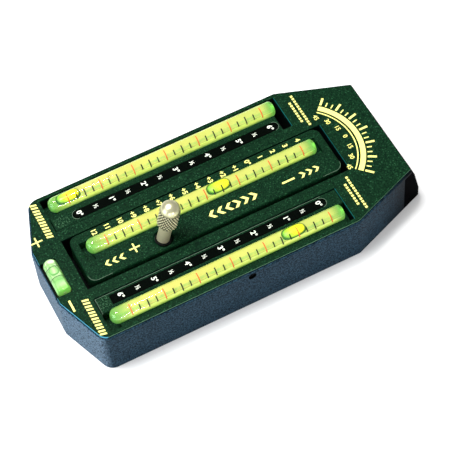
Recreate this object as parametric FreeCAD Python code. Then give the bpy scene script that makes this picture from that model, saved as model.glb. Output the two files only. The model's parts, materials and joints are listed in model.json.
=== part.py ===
"""Camber caster gauge: a long flat level body with three spirit vials, a cross level and a hub end.

Millimetres. The origin is the centre of the underside, +Z is up, +X points to the hub end and -Y is the
front flank. Each function below makes one sub-part or one family of sub-parts.
"""
import FreeCAD
import Part
import math
import os

Vector = FreeCAD.Vector

# Body outline: an octagon with short steep chamfers on the left and long shallow ones on the right
body_length = 180.0
body_width = 88.0
body_height = 27.0
left_chamfer_x = 10.2
left_chamfer_y = 28.2
right_chamfer_x = 36.5
right_chamfer_y = 14.0
flank_corner_left_r = 6.0
end_corner_left_r = 3.0
flank_corner_right_r = 3.0
end_corner_right_r = 0.8
top_edge_r = 0.7

# Face plate let onto the housing
plate_thickness = 1.0
plate_inset = 0.9

# Pockets and well, open to the top, set in from the ends and the flanks
floor_z = 12.0
floor_thickness = 2.0
left_land = 15.2
pocket_right_land = 37.8
well_right_land = 25.9
flank_wall = 2.8
pocket_width = 20.0
well_half_width = 15.3

# Underside cavity, its cover and the lightening pocket in the nose
cavity_wall = 4.0
cavity_end_wall = 4.0
nose_wall = 2.9
nose_side_land = 18.0
nose_roof_thickness = 2.5
cover_thickness = 2.0
cover_inset = 2.2
cover_gap = 0.15
cover_boss_r = 3.5
cover_screw_r = 1.5
cover_screw_length = 9.0
cover_screw_head_r = 2.9
cover_screw_head_height = 1.5
cover_screw_left_land = 20.0
cover_screw_right_land = 28.0
cover_screw_end_side_land = 13.0
cover_screw_middle_side_land = 9.0

# Camber holders, one in each side pocket
holder_end_gap = 0.6
holder_side_gap = 0.5
holder_top_drop = 0.4
holder_lip_drop = 1.6
holder_plus_right_gap = 5.0
holder_minus_right_gap = 0.4
holder_relief_width = 10.4
holder_relief_depth = 6.0
holder_relief_left_length = 5.2
holder_relief_right_length = 3.2
holder_screw_left_land = 14.8
holder_screw_right_land = 16.2
holder_screw_r = 1.5
holder_screw_bite = 7.0
holder_screw_head_r = 2.75
holder_screw_head_height = 2.2
holder_screw_socket_r = 1.2
holder_screw_socket_depth = 1.5

# Scale strips on the holders
strip_width = 5.1
strip_thickness = 0.3
strip_inner_land = 1.25
strip_plus_left_land = 10.2
strip_plus_right_land = 0.7
strip_minus_left_land = 6.5
strip_minus_right_land = 6.7

# Long vials
vial_r = 3.9
vial_left_room = 2.5
vial_right_room = 3.3
vial_bore_r = 3.0
vial_dome_r = 3.6
vial_end_corner_r = 2.0
vial_dome_wall = 1.6
vial_end_wall = 1.4
vial_bore_round = 2.0
vial_rise = 0.8
vial_seat_gap = 0.05
camber_vial_side_land = 6.05
caster_vial_y = 4.0
caster_vial_left_land = 5.8
plug_r = 1.25
plug_gap = 0.02
plug_recess = 0.1

# Bubbles; the long vials' are placed from the domed end
bubble_length = 12.5
bubble_half_width = 2.7
bubble_gap = 0.05
liquid_film = 0.02
camber_plus_bubble_at = 10.5
camber_minus_bubble_at = 95.0
caster_bubble_at = 69.4

# Cross level let into the left end
cross_vial_r = 3.5
cross_vial_length = 19.8
cross_bore_r = 2.6
cross_dome_r = 3.3
cross_end_corner_r = 1.0
cross_dome_wall = 1.2
cross_end_wall = 1.2
cross_bore_round = 1.2
cross_vial_land = 5.2
cross_vial_back_y = 7.7
cross_vial_rise = 0.5
cross_plug_r = 0.9
cross_bubble_length = 5.6
cross_bubble_half_width = 1.9
cross_bubble_shift = 2.5
cross_slot_left_gap = 0.85
cross_slot_right_gap = 0.25
cross_slot_end_gap = 0.4

# Caster carrier, tilting bar in the well
carrier_left_gap = 2.8
carrier_right_gap = 2.75
carrier_side_gap = 1.45
carrier_corner_r = 4.0
carrier_rise = 1.5
carrier_thickness = 11.0
carrier_bevel = 0.4
carrier_slot_half_width = 4.8
carrier_slot_depth = 1.5
carrier_slot_end_gap = 2.3
carrier_relief_length = 4.2
carrier_relief_front_y = -2.9
carrier_relief_depth = 5.0

# Pivot pin across the well
pivot_right_land = 15.35
pivot_rise = 3.0
pivot_r = 2.0
pivot_gap = 0.05
pivot_hold_gap = 0.02
pivot_recess = 1.0

# Adjuster: leaning thumb screw, thrust washer, spring and threaded bush
adjuster_lean_deg = 16.0
adjuster_left_land = 39.9
adjuster_side_land = 5.95
screw_r = 2.5
screw_tip_z = 5.4
screw_tip_chamfer = 0.5
screw_collar_r = 3.1
screw_collar_length = 9.4
screw_collar_chamfer = 0.3
screw_cone_length = 1.6
knob_r = 5.0
knob_length = 9.2
knob_cap_r = 4.85
knob_cap_land = 0.5
knob_chamfer = 0.5
carrier_screw_hole_r = 3.5
spotface_r = 5.0
spotface_depth = 1.4
washer_r = 4.0
washer_thickness = 0.8
washer_bore_gap = 0.05
washer_seat_gap = 0.25
insert_r = 4.0
insert_length = 7.0
insert_top_depth = 1.4
insert_bore_gap = 0.05
insert_hold_gap = 0.02
boss_r = 6.5
boss_foot_gap = 0.4
spring_r = 4.2
spring_wire = 0.8
spring_pocket_rise = 5.5
spring_pocket_r = 5.2
spring_end_gap = 0.1

# Set screws through the long flanks
set_screw_left_land = 71.0
set_screw_drop = 3.6
set_screw_r = 2.0
set_screw_recess = 1.1
set_screw_socket_r = 1.0
set_screw_socket_depth = 1.2
dog_r = 1.25
dog_depth = 1.3
dog_gap = 0.1

# Hub end block, its threaded bush and its screws
hub_seat_depth = 5.4
hub_deck_thickness = 1.6
hub_reach = 5.2
hub_face_height = 5.7
hub_knee_reach = 1.8
hub_knee_drop = 3.9
hub_edge_r = 0.8
hub_thread_z = 12.0
hub_thread_r = 3.3
hub_insert_r = 5.5
hub_insert_length = 7.0
hub_spotface_reach = 2.1
hub_spotface_r = 6.2
hub_screw_side_land = 24.0
hub_screw_z = 6.0
hub_screw_r = 2.0
hub_screw_head_r = 3.5
hub_screw_head_height = 4.0
hub_screw_bite = 6.5
hub_screw_socket_r = 1.7
hub_screw_socket_depth = 2.0

# Shared clearances
screw_gap = 0.05
screw_clear_hole = 0.2
thread_end_room = 0.8
cover_socket_r = 1.0
cover_socket_depth = 1.1
smallest_corner_r = 0.2
same_spot = 0.001

# Worked out from the sizes above
half_length = body_length / 2
half_width = body_width / 2
housing_top_z = body_height - plate_thickness
cavity_roof_z = floor_z - floor_thickness
pocket_left_x = -half_length + left_land
pocket_right_x = half_length - pocket_right_land
pocket_outer_y = half_width - flank_wall
pocket_inner_y = pocket_outer_y - pocket_width
well_right_x = half_length - well_right_land
nose_left_x = well_right_x + nose_wall
nose_half_width = half_width - nose_side_land
nose_roof_z = housing_top_z - nose_roof_thickness
hub_seat_x = half_length - hub_seat_depth
hub_deck_z = housing_top_z - hub_deck_thickness
hub_face_x = half_length + hub_reach
hub_knee_x = half_length + hub_knee_reach
hub_knee_z = hub_deck_z - hub_knee_drop
hub_spotface_x = half_length + hub_spotface_reach
hub_screw_y = half_width - hub_screw_side_land
cavity_right_x = hub_seat_x - cavity_end_wall
carrier_top_z = body_height + carrier_rise
carrier_bottom_z = carrier_top_z - carrier_thickness
carrier_half_width = well_half_width - carrier_side_gap
carrier_left_x = pocket_left_x + carrier_left_gap
carrier_right_x = well_right_x - carrier_right_gap
pivot_x = carrier_right_x - pivot_right_land
pivot_z = carrier_bottom_z + pivot_rise
spring_roof_z = carrier_bottom_z + spring_pocket_rise
adjuster_x = carrier_left_x + adjuster_left_land
adjuster_y = -carrier_half_width + adjuster_side_land
holder_left_x = pocket_left_x + holder_end_gap
holder_plus_right_x = pocket_right_x - holder_plus_right_gap
holder_minus_right_x = pocket_right_x - holder_minus_right_gap
holder_inner_y = pocket_inner_y + holder_side_gap
holder_outer_y = pocket_outer_y - holder_side_gap
holder_relief_inner_y = holder_outer_y - holder_relief_width
holder_top_z = body_height - holder_top_drop
holder_lip_z = body_height - holder_lip_drop
strip_y = holder_inner_y + strip_inner_land + strip_width / 2
holder_screw_y = strip_y
holder_screw_x = [pocket_left_x + holder_screw_left_land, pocket_right_x - holder_screw_right_land]
vial_length = pocket_right_x - pocket_left_x - vial_left_room - vial_right_room
camber_vial_left_x = pocket_left_x + vial_left_room
camber_vial_y = pocket_outer_y - camber_vial_side_land
camber_vial_z = body_height + vial_rise
caster_vial_left_x = carrier_left_x + caster_vial_left_land
caster_vial_z = carrier_top_z + vial_rise
cross_vial_x = -half_length + cross_vial_land
cross_vial_axis_z = body_height + cross_vial_rise
set_screw_x = pocket_left_x + set_screw_left_land
set_screw_z = body_height - set_screw_drop
cover_screw_end_y = half_width - cover_screw_end_side_land
cover_screw_middle_y = half_width - cover_screw_middle_side_land
cover_screw_places = [
    (-half_length + cover_screw_left_land, cover_screw_end_y),
    (0.0, cover_screw_middle_y),
    (half_length - cover_screw_right_land, cover_screw_end_y),
]
lean = math.radians(adjuster_lean_deg)
screw_axis = Vector(math.sin(lean), 0, math.cos(lean))
screw_point = Vector(adjuster_x, adjuster_y, carrier_top_z)
WORLD_X = Vector(1, 0, 0)
WORLD_Y = Vector(0, 1, 0)
WORLD_Z = Vector(0, 0, 1)


def line_meeting(point_a, direction_a, point_b, direction_b):
    """Point where two plan lines cross."""
    cross = direction_a.x * direction_b.y - direction_a.y * direction_b.x
    gap = point_b - point_a
    along = (gap.x * direction_b.y - gap.y * direction_b.x) / cross
    return point_a + direction_a * along


def body_corners(inset=0.0):
    """The eight plan corners, from the front left round to the back left, moved inward by inset."""
    right_step_x = half_length - right_chamfer_x
    left_step_x = -half_length + left_chamfer_x
    right_step_y = half_width - right_chamfer_y
    left_step_y = half_width - left_chamfer_y
    corners = [
        Vector(left_step_x, -half_width, 0),
        Vector(right_step_x, -half_width, 0),
        Vector(half_length, -right_step_y, 0),
        Vector(half_length, right_step_y, 0),
        Vector(right_step_x, half_width, 0),
        Vector(left_step_x, half_width, 0),
        Vector(-half_length, left_step_y, 0),
        Vector(-half_length, -left_step_y, 0),
    ]
    sides = []
    for index, start in enumerate(corners):
        end = corners[(index + 1) % len(corners)]
        direction = (end - start).normalize()
        inward = Vector(-direction.y, direction.x, 0)
        sides.append((start + inward * inset, direction))
    return [
        line_meeting(*sides[index - 1], *sides[index])
        for index in range(len(sides))
    ]


def corner_radii(inset=0.0):
    """Corner radii in the order of body_corners, less the inset and never under a small round."""
    radii = [
        flank_corner_left_r,
        flank_corner_right_r,
        end_corner_right_r,
        end_corner_right_r,
        flank_corner_right_r,
        flank_corner_left_r,
        end_corner_left_r,
        end_corner_left_r,
    ]
    return [max(radius - inset, smallest_corner_r) for radius in radii]


def prism(points, bottom_z, top_z):
    """Upright prism on a closed list of plan points."""
    lifted = [Vector(point.x, point.y, bottom_z) for point in points]
    outline = Part.makePolygon(lifted + lifted[:1])
    return Part.Face(outline).extrude(Vector(0, 0, top_z - bottom_z))


def body_prism(inset, bottom_z, top_z):
    """The body outline as a prism with its corners rounded."""
    points = body_corners(inset)
    solid = prism(points, bottom_z, top_z)
    for point, radius in zip(points, corner_radii(inset)):
        corner_edge = [
            edge for edge in solid.Edges
            if is_upright(edge) and plan_distance(edge, point) < same_spot
        ]
        solid = solid.makeFillet(radius, corner_edge)
    return solid


def is_upright(edge):
    """True for a straight edge along Z."""
    start, end = edge.Vertexes[0].Point, edge.Vertexes[-1].Point
    return math.hypot(start.x - end.x, start.y - end.y) < same_spot and abs(start.z - end.z) > same_spot


def plan_distance(edge, point):
    """Plan distance from an upright edge to a point."""
    start = edge.Vertexes[0].Point
    return math.hypot(start.x - point.x, start.y - point.y)


def block(x0, x1, y0, y1, z0, z1):
    """Rectangular block between two corners, given in either order."""
    low = Vector(min(x0, x1), min(y0, y1), min(z0, z1))
    return Part.makeBox(abs(x1 - x0), abs(y1 - y0), abs(z1 - z0), low)


def rod(radius, start, direction, length):
    """Cylinder from a start point along a direction."""
    return Part.makeCylinder(radius, length, start, direction)


def stadium(x0, x1, y, half, z0, z1, round_left=True, round_right=True):
    """Upright strip along X whose ends are full rounds or square."""
    height = z1 - z0
    start = x0 + half if round_left else x0
    end = x1 - half if round_right else x1
    solid = block(start, end, y - half, y + half, z0, z1)
    if round_left:
        solid = solid.fuse(rod(half, Vector(start, y, z0), WORLD_Z, height))
    if round_right:
        solid = solid.fuse(rod(half, Vector(end, y, z0), WORLD_Z, height))
    return solid.removeSplitter()


def rounded_rod(radius, x0, x1, left_round, right_round):
    """Rod along X on the axis, its two end edges rounded; a round of zero leaves the end square."""
    corner = 1 - math.sqrt(0.5)
    edges = []
    place = Vector(x0, 0, 0)
    if left_round:
        turn_start = Vector(x0, 0, radius - left_round)
        turn_mid = Vector(x0 + left_round * corner, 0, radius - left_round * corner)
        turn_end = Vector(x0 + left_round, 0, radius)
        edges.append(Part.LineSegment(place, turn_start).toShape())
        edges.append(Part.Arc(turn_start, turn_mid, turn_end).toShape())
        place = turn_end
    else:
        edges.append(Part.LineSegment(place, Vector(x0, 0, radius)).toShape())
        place = Vector(x0, 0, radius)
    if right_round:
        turn_start = Vector(x1 - right_round, 0, radius)
        turn_mid = Vector(x1 - right_round * corner, 0, radius - right_round * corner)
        turn_end = Vector(x1, 0, radius - right_round)
        edges.append(Part.LineSegment(place, turn_start).toShape())
        edges.append(Part.Arc(turn_start, turn_mid, turn_end).toShape())
        place = turn_end
    else:
        edges.append(Part.LineSegment(place, Vector(x1, 0, radius)).toShape())
        place = Vector(x1, 0, radius)
    edges.append(Part.LineSegment(place, Vector(x1, 0, 0)).toShape())
    edges.append(Part.LineSegment(Vector(x1, 0, 0), Vector(x0, 0, 0)).toShape())
    profile = Part.Face(Part.Wire(edges))
    return profile.revolve(Vector(0, 0, 0), WORLD_X, 360)


def turned(profile_points, start, axis):
    """Solid of revolution about an axis; each profile point is (distance along the axis, radius)."""
    points = [Vector(radius, 0, along) for along, radius in profile_points]
    outline = Part.makePolygon(points + points[:1])
    solid = Part.Face(outline).revolve(Vector(0, 0, 0), WORLD_Z, 360)
    solid.Placement = FreeCAD.Placement(start, FreeCAD.Rotation(WORLD_Z, axis))
    return solid


def along_screw(distance):
    """Point on the thumb screw's axis at a distance above the carrier's top face."""
    return screw_point + screw_axis * distance


def distance_at_height(height):
    """Distance along the thumb screw's axis at which it passes a height."""
    return (height - carrier_top_z) / screw_axis.z


def group(solids):
    """Several separate solids kept under one name."""
    return Part.makeCompound(solids)


def mirrored(solid):
    """Copy on the other side of the long centre plane."""
    return solid.mirror(Vector(0, 0, 0), WORLD_Y)


def both_sides(solids):
    """The solids of the back half and their mirror images."""
    return solids + [mirrored(solid) for solid in solids]


def vial_set(spec):
    """Shell, filler plug, liquid and bubble of one spirit vial, lying along its own X axis from zero."""
    length, shell_r, bore_r = spec["length"], spec["shell_r"], spec["bore_r"]
    bore_start = spec["dome_wall"]
    bore_end = length - spec["end_wall"]
    outside = rounded_rod(shell_r, 0, length, spec["dome_r"], spec["corner_r"])
    bore = rounded_rod(bore_r, bore_start, bore_end, spec["bore_round"], 0)
    filler_hole = rod(spec["plug_r"] + plug_gap, Vector(bore_end, 0, 0), WORLD_X, spec["end_wall"])
    shell = outside.cut(bore).cut(filler_hole)
    plug = rod(spec["plug_r"], Vector(bore_end, 0, 0), WORLD_X, spec["end_wall"] - plug_recess)
    bubble = bubble_shape(spec, 0)
    liquid_round = spec["bore_round"] - liquid_film
    liquid = rounded_rod(
        bore_r - liquid_film, bore_start + liquid_film, bore_end - liquid_film, liquid_round, 0)
    liquid = liquid.cut(bubble_shape(spec, liquid_film))
    return {"shell": shell, "plug": plug, "liquid": liquid, "bubble": bubble}


def bubble_shape(spec, growth):
    """Bubble under the crown of the bore: flat below, rounded in plan, crowned like the bore above."""
    half = spec["bubble_half"] + growth
    crown_r = spec["bore_r"] - bubble_gap + growth
    waterline = math.sqrt((spec["bore_r"] - bubble_gap) ** 2 - spec["bubble_half"] ** 2) - growth
    reach = spec["bubble_length"] / 2 + growth
    centre = spec["bubble_at"]
    plan = stadium(centre - reach, centre + reach, 0, half, waterline, crown_r + growth)
    crown = rod(crown_r, Vector(centre - reach, 0, 0), WORLD_X, 2 * reach)
    return plan.common(crown)


def long_vial_spec(bubble_at):
    """Sizes of a long vial whose bubble stands at a given distance from the domed end."""
    return {
        "length": vial_length,
        "shell_r": vial_r,
        "bore_r": vial_bore_r,
        "dome_r": vial_dome_r,
        "corner_r": vial_end_corner_r,
        "dome_wall": vial_dome_wall,
        "end_wall": vial_end_wall,
        "bore_round": vial_bore_round,
        "plug_r": plug_r,
        "bubble_length": bubble_length,
        "bubble_half": bubble_half_width,
        "bubble_at": bubble_at,
    }


def cross_vial_spec():
    """Sizes of the short cross level."""
    return {
        "length": cross_vial_length,
        "shell_r": cross_vial_r,
        "bore_r": cross_bore_r,
        "dome_r": cross_dome_r,
        "corner_r": cross_end_corner_r,
        "dome_wall": cross_dome_wall,
        "end_wall": cross_end_wall,
        "bore_round": cross_bore_round,
        "plug_r": cross_plug_r,
        "bubble_length": cross_bubble_length,
        "bubble_half": cross_bubble_half_width,
        "bubble_at": cross_vial_length / 2 - cross_bubble_shift,
    }


def place_vial(name, spec, start, turn_deg):
    """Named vial pieces set down at a start point and turned about Z."""
    placement = FreeCAD.Placement(start, FreeCAD.Rotation(WORLD_Z, turn_deg))
    nodes = {}
    for piece, suffix in (("shell", "vial"), ("plug", "vial_plug"), ("liquid", "liquid"), ("bubble", "bubble")):
        solid = vial_set(spec)[piece]
        solid.Placement = placement
        nodes[name + "_" + suffix] = solid
    return nodes


def vials():
    """The three long vials and the cross level."""
    nodes = {}
    long_vials = (
        ("camber_plus", camber_vial_left_x, camber_vial_y, camber_vial_z, camber_plus_bubble_at),
        ("camber_minus", camber_vial_left_x, -camber_vial_y, camber_vial_z, camber_minus_bubble_at),
        ("caster", caster_vial_left_x, caster_vial_y, caster_vial_z, caster_bubble_at),
    )
    for name, left_x, y, z, bubble_at in long_vials:
        nodes.update(place_vial(name, long_vial_spec(bubble_at), Vector(left_x, y, z), 0))
    cross_start = Vector(cross_vial_x, cross_vial_back_y, cross_vial_axis_z)
    nodes.update(place_vial("cross", cross_vial_spec(), cross_start, -90))
    return nodes


def cross_slot():
    """Room for the cross level, cut down from the top."""
    floor = cross_vial_axis_z - cross_vial_r
    return block(
        cross_vial_x - cross_vial_r - cross_slot_left_gap,
        cross_vial_x + cross_vial_r + cross_slot_right_gap,
        cross_vial_back_y - cross_vial_length - cross_slot_end_gap,
        cross_vial_back_y + cross_slot_end_gap,
        floor, body_height + cross_vial_r)


def face_windows(bottom_z, top_z):
    """The two side pockets and the centre well as blocks."""
    side = block(pocket_left_x, pocket_right_x, pocket_inner_y, pocket_outer_y, bottom_z, top_z)
    well = block(pocket_left_x, well_right_x, -well_half_width, well_half_width, bottom_z, top_z)
    return [side, mirrored(side), well]


def cover_screw_points():
    """Plan places of the six cover screws."""
    back = [Vector(x, y, 0) for x, y in cover_screw_places]
    return back + [Vector(point.x, -point.y, 0) for point in back]


def adjuster_boss():
    """Leaning boss under the well floor that holds the threaded bush."""
    foot = cover_thickness + boss_foot_gap
    start = along_screw(distance_at_height(0))
    leaning = rod(boss_r, start, screw_axis, distance_at_height(floor_z) - distance_at_height(0))
    room = block(-half_length, half_length, -half_width, half_width, foot, cavity_roof_z)
    return leaning.common(room)


def housing_cavity():
    """Hollow under the floor, open at the underside, with the nose pocket, less its bosses."""
    room = body_prism(cavity_wall, 0, cavity_roof_z)
    room = room.common(block(-half_length, cavity_right_x, -half_width, half_width, 0, cavity_roof_z))
    nose = block(nose_left_x, cavity_right_x, -nose_half_width, nose_half_width, 0, nose_roof_z)
    room = room.fuse(nose)
    for point in cover_screw_points():
        post = rod(cover_boss_r, Vector(point.x, point.y, cover_thickness), WORLD_Z, floor_z)
        room = room.cut(post)
    return room.cut(adjuster_boss())


def cover_outline(inset, top_z):
    """Plan shape of the bottom cover and of the rebate it lies in."""
    end_x = cavity_right_x + cavity_wall - cover_inset
    shape = body_prism(inset, 0, top_z)
    return shape.common(block(-half_length, end_x - (inset - cover_inset), -half_width, half_width, 0, top_z))


def set_screw_hole():
    """Hole through the back flank for a set screw."""
    start = Vector(set_screw_x, pocket_outer_y - screw_gap, set_screw_z)
    return rod(set_screw_r + screw_gap, start, WORLD_Y, half_width)


def housing():
    """Machined body with its pockets, cavity, bosses and holes."""
    solid = body_prism(0, 0, housing_top_z)
    rim = [
        edge for edge in solid.Edges
        if all(abs(vertex.Point.z - housing_top_z) < same_spot for vertex in edge.Vertexes)
    ]
    solid = solid.makeFillet(top_edge_r, rim)
    cuts = face_windows(floor_z, body_height)
    cuts.append(housing_cavity())
    cuts.append(cover_outline(cover_inset, cover_thickness))
    cuts.append(cross_slot())
    cuts.append(block(hub_seat_x, body_length, -half_width, half_width, 0, hub_deck_z))
    cuts += both_sides([set_screw_hole()])
    for point in cover_screw_points():
        depth = cover_screw_length + thread_end_room - cover_thickness
        start = Vector(point.x, point.y, cover_thickness)
        cuts.append(rod(cover_screw_r + screw_gap, start, WORLD_Z, depth))
    for x in holder_screw_x:
        start = Vector(x, holder_screw_y, 0)
        cuts += both_sides([rod(holder_screw_r + screw_clear_hole, start, WORLD_Z, floor_z)])
    hub_hole_start = Vector(cavity_right_x, hub_screw_y, hub_screw_z)
    cuts += both_sides([rod(hub_screw_r + screw_clear_hole, hub_hole_start, WORLD_X, cavity_end_wall)])
    insert_top = distance_at_height(floor_z - insert_top_depth)
    cuts.append(rod(insert_r + insert_hold_gap, along_screw(distance_at_height(0)), screw_axis,
                    insert_top - distance_at_height(0)))
    cuts.append(rod(spring_pocket_r, along_screw(insert_top), screw_axis, floor_z))
    pin_reach = pocket_inner_y
    cuts.append(rod(pivot_r + pivot_hold_gap, Vector(pivot_x, -pin_reach, pivot_z), WORLD_Y, 2 * pin_reach))
    for cutter in cuts:
        solid = solid.cut(cutter)
    return solid.removeSplitter()


def face_plate():
    """Thin top plate with the same windows as the housing."""
    solid = body_prism(plate_inset, housing_top_z, body_height)
    for cutter in face_windows(housing_top_z, body_height) + [cross_slot()]:
        solid = solid.cut(cutter)
    return solid


def bottom_cover():
    """Plate that closes the underside, countersunk for its screws."""
    solid = cover_outline(cover_inset + cover_gap, cover_thickness)
    head_r = cover_screw_head_r + screw_clear_hole
    shank_r = cover_screw_r + screw_clear_hole
    for point in cover_screw_points():
        solid = solid.cut(rod(shank_r, point, WORLD_Z, cover_thickness))
        solid = solid.cut(Part.makeCone(head_r, shank_r, cover_screw_head_height, point, WORLD_Z))
    return solid


def bottom_cover_screws():
    """Six countersunk screws with a hex socket."""
    screws = []
    for point in cover_screw_points():
        shank = rod(cover_screw_r, point, WORLD_Z, cover_screw_length)
        head = Part.makeCone(cover_screw_head_r, cover_screw_r, cover_screw_head_height, point, WORLD_Z)
        socket = hex_prism(cover_socket_r, point, WORLD_Z, cover_socket_depth)
        screws.append(shank.fuse(head).cut(socket))
    return group(screws)


def hex_prism(radius, start, axis, length):
    """Hexagonal prism for a key socket, by its corner radius."""
    sides = 6
    corners = [
        Vector(radius * math.cos(2 * math.pi * index / sides), radius * math.sin(2 * math.pi * index / sides), 0)
        for index in range(sides)
    ]
    solid = prism(corners, 0, length)
    solid.Placement = FreeCAD.Placement(start, FreeCAD.Rotation(WORLD_Z, axis))
    return solid


def camber_holder(right_x, relief_right):
    """Back-side holder bar with its vial groove, lowered lip, end reliefs and tapped holes."""
    solid = block(holder_left_x, right_x, holder_inner_y, holder_outer_y, floor_z, holder_top_z)
    solid = solid.cut(block(holder_left_x, right_x, camber_vial_y, holder_outer_y, holder_lip_z, body_height))
    groove_start = Vector(holder_left_x, camber_vial_y, camber_vial_z)
    solid = solid.cut(rod(vial_r + vial_seat_gap, groove_start, WORLD_X, right_x - holder_left_x))
    relief_z = holder_top_z - holder_relief_depth
    left_end = holder_left_x + holder_relief_left_length
    solid = solid.cut(
        block(holder_left_x, left_end, holder_relief_inner_y, holder_outer_y, relief_z, body_height))
    if relief_right:
        right_start = right_x - holder_relief_right_length
        solid = solid.cut(
            block(right_start, right_x, holder_relief_inner_y, holder_outer_y, relief_z, body_height))
    for x in holder_screw_x:
        depth = holder_screw_bite + thread_end_room
        solid = solid.cut(rod(holder_screw_r + screw_gap, Vector(x, holder_screw_y, floor_z), WORLD_Z, depth))
    dimple_start = Vector(set_screw_x, holder_outer_y - dog_depth, set_screw_z)
    return solid.cut(rod(dog_r + dog_gap, dimple_start, WORLD_Y, dog_depth))


def scale_strip(left_land, right_x, round_left):
    """Back-side printed strip beside the vial, between the holder's left end and a place on the right."""
    return stadium(holder_left_x + left_land, right_x, strip_y, strip_width / 2,
                   holder_top_z, holder_top_z + strip_thickness, round_left, True)


def holder_screws():
    """Four pan head screws from the cavity up into the holders."""
    screws = []
    for x in holder_screw_x:
        head_z = cavity_roof_z - holder_screw_head_height
        head = rod(holder_screw_head_r, Vector(x, holder_screw_y, head_z), WORLD_Z, holder_screw_head_height)
        shank_length = floor_thickness + holder_screw_bite
        shank = rod(holder_screw_r, Vector(x, holder_screw_y, cavity_roof_z), WORLD_Z, shank_length)
        socket_start = Vector(x, holder_screw_y, head_z)
        socket = hex_prism(holder_screw_socket_r, socket_start, WORLD_Z, holder_screw_socket_depth)
        screws.append(head.fuse(shank).removeSplitter().cut(socket))
    return group(both_sides(screws))


def side_set_screws():
    """Set screws with a dog point in the two long flanks."""
    outer_y = half_width - set_screw_recess
    inner_y = holder_outer_y + screw_gap
    body = rod(set_screw_r, Vector(set_screw_x, inner_y, set_screw_z), WORLD_Y, outer_y - inner_y)
    dog_start = Vector(set_screw_x, holder_outer_y - dog_depth + dog_gap, set_screw_z)
    dog = rod(dog_r, dog_start, WORLD_Y, inner_y - dog_start.y)
    socket_start = Vector(set_screw_x, outer_y - set_screw_socket_depth, set_screw_z)
    socket = hex_prism(set_screw_socket_r, socket_start, WORLD_Y, set_screw_socket_depth)
    return group(both_sides([body.fuse(dog).removeSplitter().cut(socket)]))


def caster_carrier():
    """Raised bar with the vial slot, the leaning screw hole, the spring pocket and the pivot hole."""
    solid = block(carrier_left_x, carrier_right_x, -carrier_half_width, carrier_half_width,
                  carrier_bottom_z, carrier_top_z)
    solid = solid.makeFillet(carrier_corner_r, [edge for edge in solid.Edges if is_upright(edge)])
    rim = [
        edge for edge in solid.Edges
        if all(abs(vertex.Point.z - carrier_top_z) < same_spot for vertex in edge.Vertexes)
    ]
    solid = solid.makeChamfer(carrier_bevel, rim)
    slot_left = caster_vial_left_x - carrier_slot_end_gap
    slot_right = caster_vial_left_x + vial_length + carrier_slot_end_gap
    slot_front = caster_vial_y - carrier_slot_half_width
    slot_back = caster_vial_y + carrier_slot_half_width
    cuts = [
        block(slot_left, slot_right, slot_front, slot_back, carrier_top_z - carrier_slot_depth, body_height * 2),
        rod(vial_r + vial_seat_gap, Vector(slot_left, caster_vial_y, caster_vial_z), WORLD_X,
            slot_right - slot_left),
        block(slot_left, slot_left + carrier_relief_length, carrier_relief_front_y, slot_back,
              carrier_top_z - carrier_relief_depth, body_height * 2),
        rod(carrier_screw_hole_r, along_screw(distance_at_height(0)), screw_axis, body_height * 2),
        rod(spotface_r, along_screw(-spotface_depth), screw_axis, body_height),
        rod(spring_pocket_r, along_screw(distance_at_height(0)), screw_axis,
            distance_at_height(spring_roof_z) - distance_at_height(0)),
        rod(pivot_r + pivot_gap, Vector(pivot_x, -well_half_width, pivot_z), WORLD_Y, 2 * well_half_width),
    ]
    for cutter in cuts:
        solid = solid.cut(cutter)
    return solid.removeSplitter()


def caster_pivot_pin():
    """Cross pin held in the two webs beside the well."""
    reach = pocket_inner_y - pivot_recess
    return rod(pivot_r, Vector(pivot_x, -reach, pivot_z), WORLD_Y, 2 * reach)


def washer_base():
    """Distance of the thrust washer's underside above the carrier's top face, along the screw."""
    return -spotface_depth + washer_seat_gap


def adjuster_washer():
    """Thrust washer under the thumb screw's collar."""
    ring = rod(washer_r, along_screw(washer_base()), screw_axis, washer_thickness)
    bore = rod(screw_r + washer_bore_gap, along_screw(washer_base()), screw_axis, washer_thickness)
    return ring.cut(bore)


def adjuster_screw():
    """Thumb screw: plain shank, collar, cone, grip and domed cap."""
    collar_base = washer_base() + washer_thickness
    tip = distance_at_height(screw_tip_z)
    cone_base = collar_base + screw_collar_length
    grip_base = cone_base + screw_cone_length
    grip_top = grip_base + knob_length
    dome_base = grip_top + knob_cap_land
    profile = [
        (tip, 0),
        (tip, screw_r - screw_tip_chamfer),
        (tip + screw_tip_chamfer, screw_r),
        (collar_base, screw_r),
        (collar_base, screw_collar_r - screw_collar_chamfer),
        (collar_base + screw_collar_chamfer, screw_collar_r),
        (cone_base, screw_collar_r),
        (grip_base, knob_r - knob_chamfer),
        (grip_base + knob_chamfer, knob_r),
        (grip_top - knob_chamfer, knob_r),
        (grip_top, knob_cap_r),
        (dome_base, knob_cap_r),
        (dome_base, 0),
    ]
    dome = Part.makeSphere(knob_cap_r, along_screw(dome_base), screw_axis, 0, 90, 360)
    return turned(profile, screw_point, screw_axis).fuse(dome)


def adjuster_insert():
    """Threaded brass bush in the leaning boss."""
    top = distance_at_height(floor_z - insert_top_depth)
    base = along_screw(top - insert_length)
    bush = rod(insert_r, base, screw_axis, insert_length)
    return bush.cut(rod(screw_r + insert_bore_gap, base, screw_axis, insert_length))


def carrier_spring():
    """Closed outer shape of the spring between the bush and the carrier's pocket."""
    foot = distance_at_height(floor_z - insert_top_depth) + spring_end_gap
    head = distance_at_height(spring_roof_z) - spring_end_gap
    sleeve = rod(spring_r, along_screw(foot), screw_axis, head - foot)
    return sleeve.cut(rod(spring_r - spring_wire, along_screw(foot), screw_axis, head - foot))


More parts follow.
